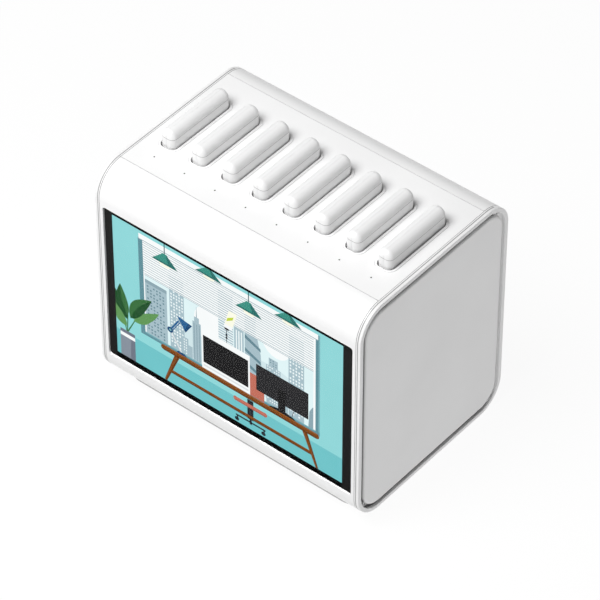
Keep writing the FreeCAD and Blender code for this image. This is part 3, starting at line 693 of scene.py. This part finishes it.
# ---- small metal pieces ---------------------------------------------------
def wire_mesh(points, radius, sides=8):
    """Round wire through a list of points, with flat ends."""
    bm = bmesh.new()
    rings = []
    for i, p in enumerate(points):
        ahead = (points[min(i + 1, len(points) - 1)] - points[max(i - 1, 0)]).normalized()
        side = ahead.cross(Vector((0, 0, 1))).normalized()
        up = side.cross(ahead)
        rings.append([bm.verts.new(p + (side * math.cos(2 * math.pi * k / sides)
                                        + up * math.sin(2 * math.pi * k / sides)) * radius)
                      for k in range(sides)])
    for a, b in zip(rings, rings[1:]):
        for k in range(sides):
            bm.faces.new([a[k], a[(k + 1) % sides], b[(k + 1) % sides], b[k]]).smooth = True
    bm.faces.new(reversed(rings[0]))
    bm.faces.new(rings[-1])
    return bm


SPRING_RADIUS = 3.8 * MM
SPRING_WIRE = 0.45 * MM
STEM_OFFSET = 22.0 * MM
SPRING_TURNS = 7
POINTS_PER_TURN = 20
CLOSED_END = 0.12       # part of the wire wound flat at each end
CLOSED_RISE = 0.04      # part of the height that keeps those flat turns apart


def springs():
    """Coil springs round the ejector stems, standing for the plain sleeves."""
    low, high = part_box("ejector_springs")
    bottom, top = low.z + SPRING_WIRE, high.z - SPRING_WIRE
    steps = SPRING_TURNS * POINTS_PER_TURN
    whole = bmesh.new()
    for i in SLOTS:
        a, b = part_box("ejector_%d" % i)
        x = (a.x + b.x) / 2
        for side in (-1, 1):
            y = (a.y + b.y) / 2 + side * STEM_OFFSET
            points = []
            for k in range(steps + 1):
                t = k / steps
                rise = min(max((t - CLOSED_END) / (1 - 2 * CLOSED_END), 0.0), 1.0)
                angle = 2 * math.pi * SPRING_TURNS * t
                points.append(Vector((x + SPRING_RADIUS * math.cos(angle), y + SPRING_RADIUS * math.sin(angle),
                                      bottom + (top - bottom)
                                      * (CLOSED_RISE * t + (1 - CLOSED_RISE) * rise))))
            one = mesh_of("spring", wire_mesh(points, SPRING_WIRE))
            whole.from_mesh(one)
            bpy.data.meshes.remove(one)
    obj = new_piece("coil_springs", mesh_of("coil_springs", whole), CABINET, [spring_steel])
    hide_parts("ejector_springs")


springs()


PAD_COUNT = 5
PAD_PITCH = 5.0 * MM
PAD_SIZE = Vector((4.6, 2.4, 0.1)) * MM
PAD_DEPTH = 0.24 * MM   # middle of a pad above the bank's lower end
PAD_BEVEL = 0.03 * MM


def contact_pads(i):
    """Five gold contacts in the pockets of a power bank's lower end."""
    low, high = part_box("power_bank_%d" % i)
    x, y = (low.x + high.x) / 2, (low.y + high.y) / 2
    bm = bmesh.new()
    for k in range(PAD_COUNT):
        middle = Vector((x, y + (k - PAD_COUNT // 2) * PAD_PITCH, low.z + PAD_DEPTH))
        made = bmesh.ops.create_cube(bm, size=1.0)["verts"]
        for v in made:
            v.co = middle + v.co * PAD_SIZE
    bmesh.ops.bevel(bm, geom=bm.edges[:], offset=PAD_BEVEL, segments=2, affect="EDGES")
    name = "contact_pads_%d" % i
    new_piece(name, mesh_of(name, bm), "power_bank_%d" % i, [gold])


for i in SLOTS:
    contact_pads(i)


# ---- camera, floor and light --------------------------------------------
TARGET = Vector((9.58, -12.80, 108.26)) * MM
DISTANCE = 2930.0 * MM
AZIMUTH, ELEVATION = math.radians(39.50), math.radians(43.37)
LENS = 239.15           # mm
FLOOR_HALF = 6.0        # m

camera = bpy.data.objects.new("camera", bpy.data.cameras.new("camera"))
bpy.context.scene.collection.objects.link(camera)
away = Vector((math.sin(AZIMUTH) * math.cos(ELEVATION), -math.cos(AZIMUTH) * math.cos(ELEVATION),
               math.sin(ELEVATION)))
camera.location = TARGET + away * DISTANCE
camera.rotation_euler = away.to_track_quat("Z", "Y").to_euler()
camera.data.lens = LENS
camera.data.sensor_width = 36.0
camera.data.clip_start = 0.05
camera.data.clip_end = 60.0
bpy.context.scene.camera = camera


def stage_floor():
    bm = bmesh.new()
    bmesh.ops.create_grid(bm, x_segments=4, y_segments=4, size=FLOOR_HALF)
    s = Shader("studio_floor")
    tone = s.noise(0.6, 1.0)
    colour = s.ramp(tone, "Fac", grey(0.07), grey(0.08))
    s.link(colour, "Color", s.bsdf, "Base Color")
    s.set(Roughness=0.9, Specular_IOR_Level=0.0, Emission_Color=(1, 1, 1, 1), Emission_Strength=FLOOR_GLOW)
    floor = new_piece("floor", mesh_of("floor", bm), None, [s.material])


SKY = 0.14
KEY_WATTS = 31.0
KEY_SIZE = 1.2
KEY_DISTANCE = 1.7
KEY_FROM = Vector((-0.13, -0.44, 0.89)).normalized()
KEY_AIM = Vector((0.0, 0.0, 0.12))
FLOOR_GLOW = 0.93

stage_floor()
world = bpy.data.worlds.new("studio")
bpy.context.scene.world = world
world.use_nodes = True
background = world.node_tree.nodes["Background"]
background.inputs["Color"].default_value = (1, 1, 1, 1)
background.inputs["Strength"].default_value = SKY
key = bpy.data.objects.new("key_light", bpy.data.lights.new("key_light", "AREA"))
bpy.context.scene.collection.objects.link(key)
key.data.shape = "DISK"
key.data.size = KEY_SIZE
key.data.energy = KEY_WATTS
key.location = KEY_AIM + KEY_FROM * KEY_DISTANCE
key.rotation_euler = KEY_FROM.to_track_quat("Z", "Y").to_euler()
bpy.context.scene.view_settings.view_transform = "Standard"
